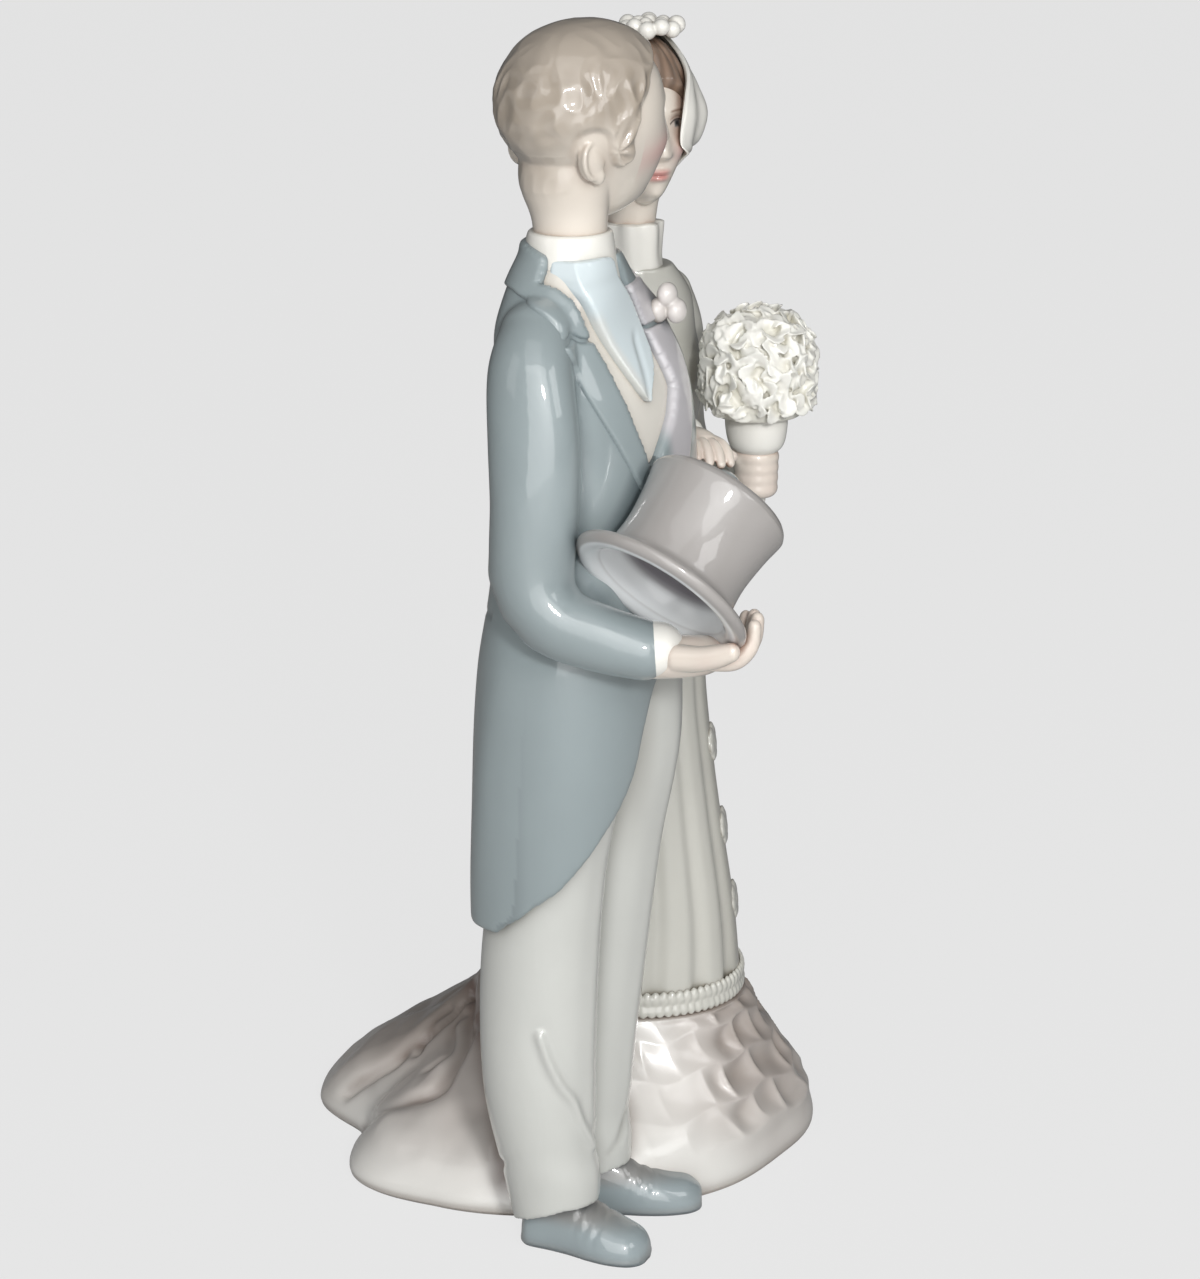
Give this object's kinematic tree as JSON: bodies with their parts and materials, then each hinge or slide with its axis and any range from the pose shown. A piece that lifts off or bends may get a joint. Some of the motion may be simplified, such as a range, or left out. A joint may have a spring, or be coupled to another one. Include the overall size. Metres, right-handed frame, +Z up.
{
  "type": "wedding couple figurine",
  "caption": "Glazed porcelain groom in tailcoat with top hat in hand and bride in pleated gown with flounced train, veil and bouquet, standing arm in arm; table decoration.",
  "frame": {"origin": "on the floor under the middle of the couple's bounding box", "axes": "+Z up, the couple faces -Y, the bride stands at +X of the groom"},
  "size_m": [0.0892, 0.097, 0.19],
  "materials": {
    "coat": "glossy glaze over soft underglaze colour",
    "trousers": "glossy glaze over soft underglaze colour",
    "shoe": "glossy glaze over soft underglaze colour",
    "waistcoat": "glossy glaze over soft underglaze colour",
    "linen": "glossy glaze over soft underglaze colour",
    "cravat": "glossy glaze over soft underglaze colour",
    "skin": "glossy glaze over soft underglaze colour",
    "groom_hair": "glossy glaze over soft underglaze colour",
    "bride_hair": "glossy glaze over soft underglaze colour",
    "hat": "glossy glaze over soft underglaze colour",
    "gown": "glossy glaze over soft underglaze colour",
    "flounce": "glossy glaze over soft underglaze colour",
    "flowers": "glossy glaze over soft underglaze colour",
    "veil": "glossy glaze over soft underglaze colour"
  },
  "bodies": {
    "root": {"top_hat": "hat", "groom_right_shoe": "shoe", "groom_left_shoe": "shoe", "groom_right_trouser_leg": "trousers", "groom_left_trouser_leg": "trousers", "groom_waistcoat": "waistcoat", "groom_tailcoat": "coat", "groom_shirt_collar": "linen", "groom_cravat": "cravat", "groom_right_sleeve": "coat", "groom_left_sleeve": "coat", "groom_coat_collar": "coat", "groom_right_lapel": "coat", "groom_left_lapel": "coat", "groom_right_cuff": "linen", "groom_right_hand": "skin", "groom_left_cuff": "linen", "groom_left_hand": "skin", "groom_head": "skin", "groom_hair": "groom_hair", "groom_buttonhole_flower": "flowers", "bride_flounce": "flounce", "bride_upper_skirt": "gown", "bride_lace_edge": "gown", "bride_bodice": "gown", "bride_left_sleeve": "gown", "bride_right_sleeve": "gown", "bride_collar": "linen", "bride_head": "skin", "bride_hair": "bride_hair", "bride_flower_wreath": "flowers", "bride_veil": "veil", "bouquet_flowers": "flowers", "bouquet_holder": "linen", "bride_left_cuff": "linen", "bride_left_hand": "skin", "bride_right_cuff": "linen", "bride_right_hand": "skin", "bride_skirt_rosette_1": "flowers", "bride_skirt_rosette_2": "flowers", "bride_skirt_rosette_3": "flowers"}
  },
  "joints": []
}
